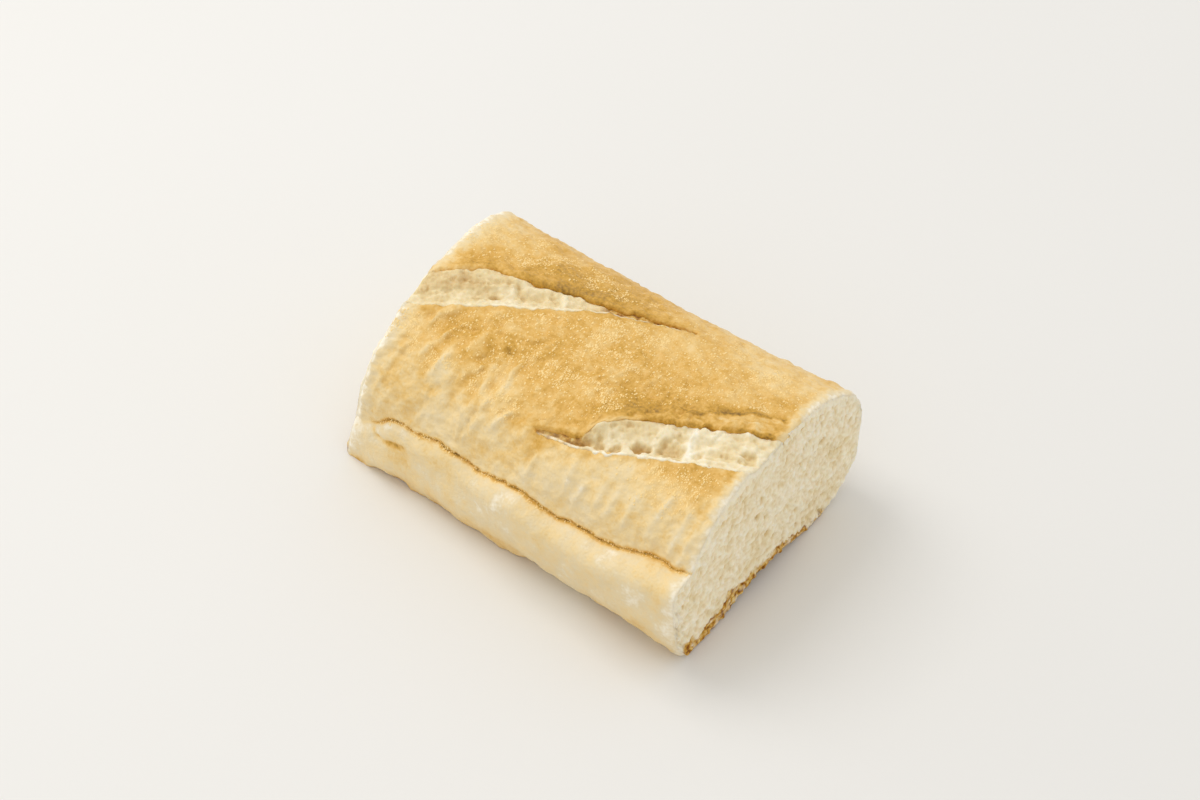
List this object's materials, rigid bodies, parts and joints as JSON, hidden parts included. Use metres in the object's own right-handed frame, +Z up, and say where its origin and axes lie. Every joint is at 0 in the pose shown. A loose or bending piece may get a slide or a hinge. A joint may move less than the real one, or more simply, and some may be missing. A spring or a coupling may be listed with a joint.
{
  "type": "baguette",
  "caption": "Short length of flat, pale baguette cut across at both ends, with open diagonal scores on top and a burst seam along one side.",
  "frame": {"origin": "middle of the loaf's bounding box, on the floor it lies on", "axes": "+X along the loaf towards its square cut, -Y towards the side with the burst seam, +Z up"},
  "size_m": [0.1196, 0.0878, 0.0503],
  "materials": {
    "crust": null
  },
  "bodies": {
    "root": {"baguette": "crust"}
  },
  "joints": []
}
